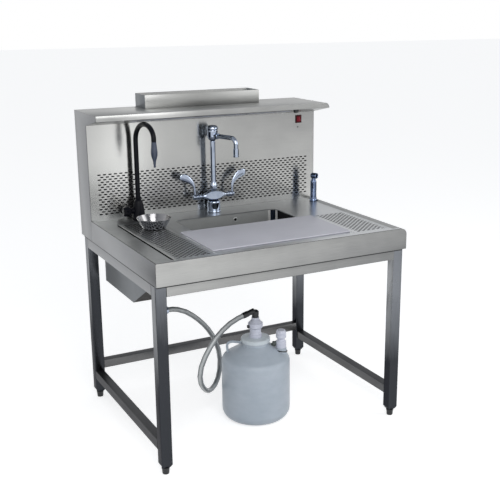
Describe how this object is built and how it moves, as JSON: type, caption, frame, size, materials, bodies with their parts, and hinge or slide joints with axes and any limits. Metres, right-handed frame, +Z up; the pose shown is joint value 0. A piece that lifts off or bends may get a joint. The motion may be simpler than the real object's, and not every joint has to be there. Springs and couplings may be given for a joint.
{
  "type": "grossing workstation",
  "caption": "Stainless laboratory worktop on a square-tube frame with sink, cutting board, perforated downdraft plates, rear cabinet with hood, taps, hand spray and a waste bottle on a hose.",
  "frame": {"origin": "on the floor under the middle of the station's overall box", "axes": "+Z up; -Y is the front where the user stands, +Y the rear cabinet; +X is the user's right"},
  "size_m": [1.2, 0.98, 1.487],
  "materials": {
    "brushed_stainless": "brushed satin",
    "polished_stainless": "fine polished",
    "chrome": "bright",
    "black_coating": "satin coating",
    "black_plastic": "matt",
    "white_board": "fine grained",
    "bottle_polyethylene": "translucent natural",
    "white_plastic": "satin",
    "red_plastic": "gloss",
    "lamp_diffuser": "opal",
    "clear_hose": "translucent"
  },
  "bodies": {
    "station": {"leg_front_left": "brushed_stainless", "leg_front_right": "brushed_stainless", "leg_rear_left": "brushed_stainless", "leg_rear_right": "brushed_stainless", "apron_front": "brushed_stainless", "apron_rear": "brushed_stainless", "apron_left": "brushed_stainless", "apron_right": "brushed_stainless", "rail_left": "brushed_stainless", "rail_right": "brushed_stainless", "rail_rear": "brushed_stainless", "fascia_front": "brushed_stainless", "fascia_left": "brushed_stainless", "fascia_right": "brushed_stainless", "worktop_deck": "polished_stainless", "sink_basin": "polished_stainless", "sink_drain": "chrome", "plenum_trough": "brushed_stainless", "waste_elbow": "black_plastic", "cabinet_left": "brushed_stainless", "cabinet_right": "brushed_stainless", "cabinet_back": "brushed_stainless", "back_panel": "polished_stainless", "hood": "brushed_stainless", "duct_collar": "brushed_stainless", "hood_lamp": "lamp_diffuser", "switch_bezel": "black_plastic", "tap_pillar": "chrome", "tap_body": "chrome", "tap_riser": "chrome", "gooseneck_base": "black_coating", "spray_holder": "chrome", "bottle_body": "bottle_polyethylene", "bottle_cap": "white_plastic", "hose_coupling": "white_plastic", "hose_elbow": "black_plastic", "vent_fitting": "white_plastic", "waste_hose": "clear_hose"},
    "left_plate": {"left_plate": "polished_stainless"},
    "drip_bowl": {"drip_bowl": "polished_stainless"},
    "right_plate": {"right_plate": "polished_stainless"},
    "cutting_board": {"cutting_board": "white_board"},
    "tap_lever_left": {"tap_lever_left": "chrome"},
    "tap_lever_right": {"tap_lever_right": "chrome"},
    "tap_spout": {"breaker_body": "chrome", "breaker_cap": "chrome", "tap_spout": "chrome"},
    "gooseneck_neck": {"gooseneck_neck": "black_coating", "gooseneck_nozzle": "black_coating"},
    "gooseneck_knob": {"gooseneck_knob": "black_coating"},
    "switch_rocker": {"switch_rocker": "red_plastic"},
    "lamp_knob": {"lamp_knob": "black_plastic"},
    "spray_handset": {"spray_handset": "chrome"},
    "coupling_latch": {"coupling_latch": "black_plastic"},
    "foot_front_left": {"foot_front_left": "black_plastic"},
    "foot_front_right": {"foot_front_right": "black_plastic"},
    "foot_rear_left": {"foot_rear_left": "black_plastic"},
    "foot_rear_right": {"foot_rear_right": "black_plastic"}
  },
  "joints": [
    {"name": "left_plate_lift", "type": "slide", "parent": "station", "child": "left_plate", "axis": [0, 0, 1], "range_m": [0, 0.05]},
    {"name": "bowl_lift", "type": "slide", "parent": "left_plate", "child": "drip_bowl", "axis": [0, 0, 1], "range_m": [0, 0.1]},
    {"name": "right_plate_lift", "type": "slide", "parent": "station", "child": "right_plate", "axis": [0, 0, 1], "range_m": [0, 0.05]},
    {"name": "board_lift", "type": "slide", "parent": "station", "child": "cutting_board", "axis": [0, 0, 1], "range_m": [0, 0.08]},
    {"name": "left_lever_turn", "type": "hinge", "parent": "station", "child": "tap_lever_left", "pos_m": [0, 0.268, 0.998], "axis": [1, 0, 0], "range_deg": [0, 90]},
    {"name": "right_lever_turn", "type": "hinge", "parent": "station", "child": "tap_lever_right", "pos_m": [0, 0.268, 0.998], "axis": [1, 0, 0], "range_deg": [0, 90]},
    {"name": "spout_swing", "type": "hinge", "parent": "station", "child": "tap_spout", "pos_m": [0, 0.268, 1.29], "axis": [0, 0, 1], "range_deg": [-75, 75]},
    {"name": "gooseneck_swing", "type": "hinge", "parent": "station", "child": "gooseneck_neck", "pos_m": [-0.383, 0.279, 1.1], "axis": [0, 0, 1], "range_deg": [-30, 30]},
    {"name": "gooseneck_knob_turn", "type": "hinge", "parent": "station", "child": "gooseneck_knob", "pos_m": [-0.419, 0.279, 0.964], "axis": [1, 0, 0], "range_deg": [0, 270]},
    {"name": "rocker_tilt", "type": "hinge", "parent": "station", "child": "switch_rocker", "pos_m": [0.508, 0.3247, 1.333], "axis": [1, 0, 0], "range_deg": [0, 16]},
    {"name": "lamp_knob_turn", "type": "hinge", "parent": "station", "child": "lamp_knob", "pos_m": [0.42, 0.19652, 1.39441], "axis": [0, -0.2086, -0.978], "range_deg": [0, 270]},
    {"name": "spray_lift", "type": "slide", "parent": "station", "child": "spray_handset", "axis": [0, 0, 1], "range_m": [0, 0.05]},
    {"name": "latch_press", "type": "slide", "parent": "station", "child": "coupling_latch", "axis": [1, 0, 0], "range_m": [0, 0.003], "stiffness_N_per_m": 500},
    {"name": "foot_front_left_screw", "type": "slide", "parent": "station", "child": "foot_front_left", "axis": [0, 0, 1], "range_m": [-0.02, 0]},
    {"name": "foot_front_right_screw", "type": "slide", "parent": "station", "child": "foot_front_right", "axis": [0, 0, 1], "range_m": [-0.02, 0]},
    {"name": "foot_rear_left_screw", "type": "slide", "parent": "station", "child": "foot_rear_left", "axis": [0, 0, 1], "range_m": [-0.02, 0]},
    {"name": "foot_rear_right_screw", "type": "slide", "parent": "station", "child": "foot_rear_right", "axis": [0, 0, 1], "range_m": [-0.02, 0]}
  ]
}
